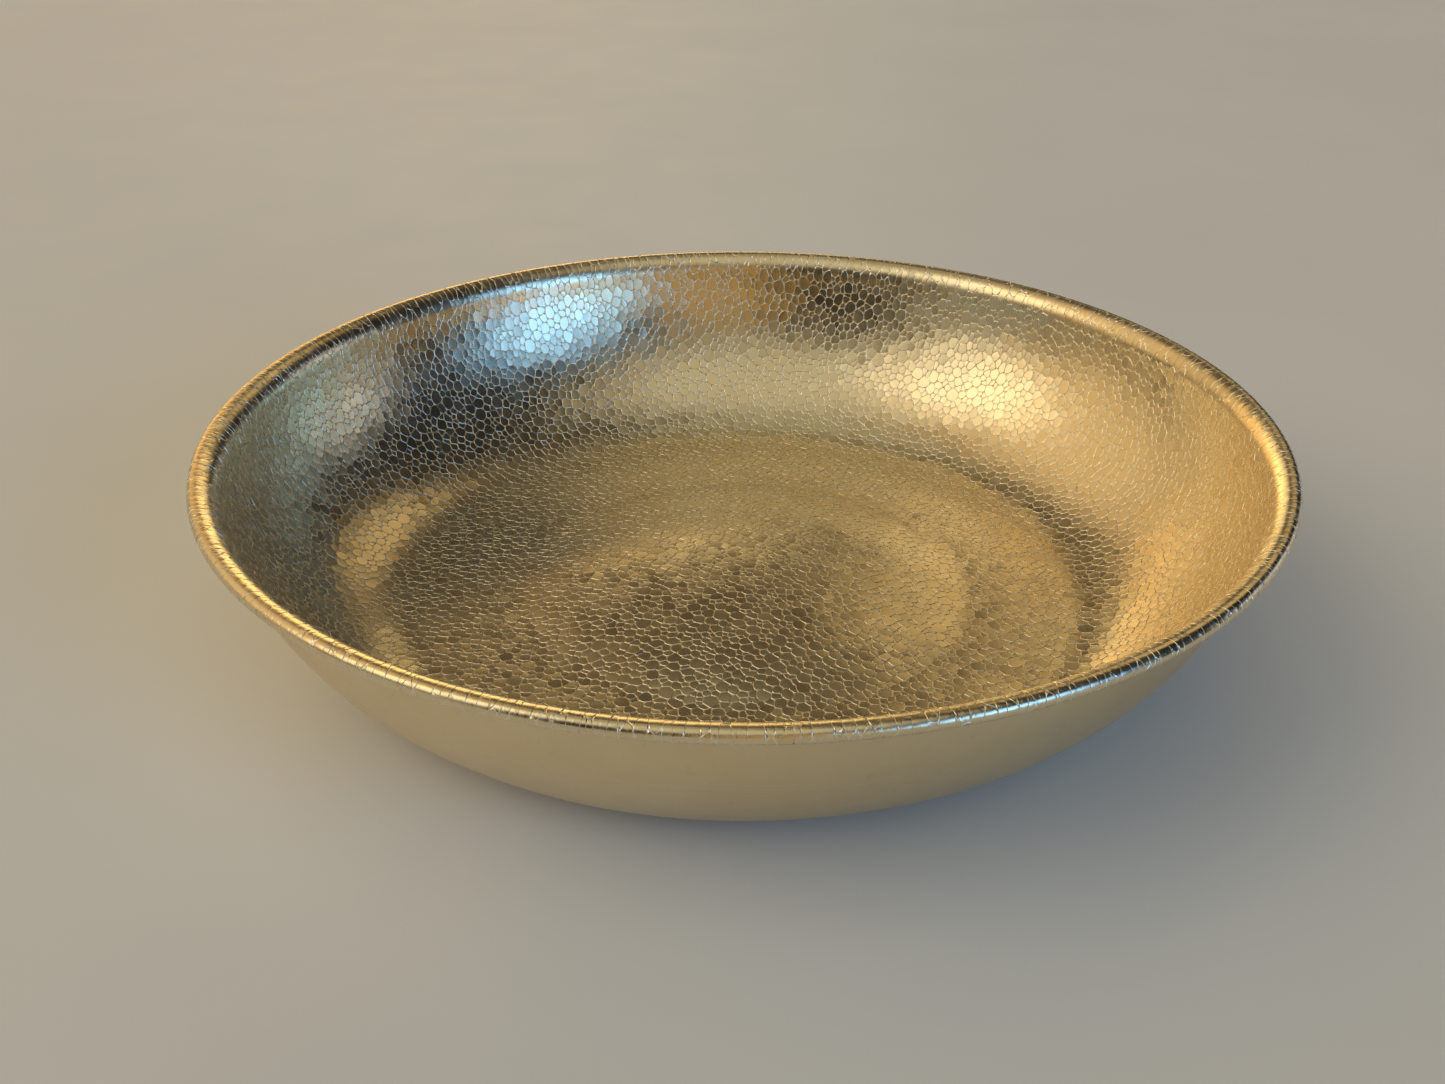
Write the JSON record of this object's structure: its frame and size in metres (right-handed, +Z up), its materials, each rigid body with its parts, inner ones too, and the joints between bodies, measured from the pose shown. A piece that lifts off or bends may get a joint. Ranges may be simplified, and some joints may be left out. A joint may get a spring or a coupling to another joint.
{
  "type": "metal bowl",
  "caption": "Wide shallow round metal bowl with an embossed pebble surface inside, a raised centre and a rolled, wired rim.",
  "frame": {"origin": "centre of the base, on the bowl's axis, in the plane of the flat ring it stands on", "axes": "+Z up along the bowl's axis; the bowl is round, so +X and +Y may point any way"},
  "size_m": [0.356, 0.356, 0.066],
  "materials": {
    "brass_satin": "satin, embossed pebble pattern on the inside and over the rim, plain outside",
    "steel_wire": "plain drawn wire"
  },
  "bodies": {
    "root": {"bowl_shell": "brass_satin", "rim_wire": "steel_wire"}
  },
  "joints": []
}
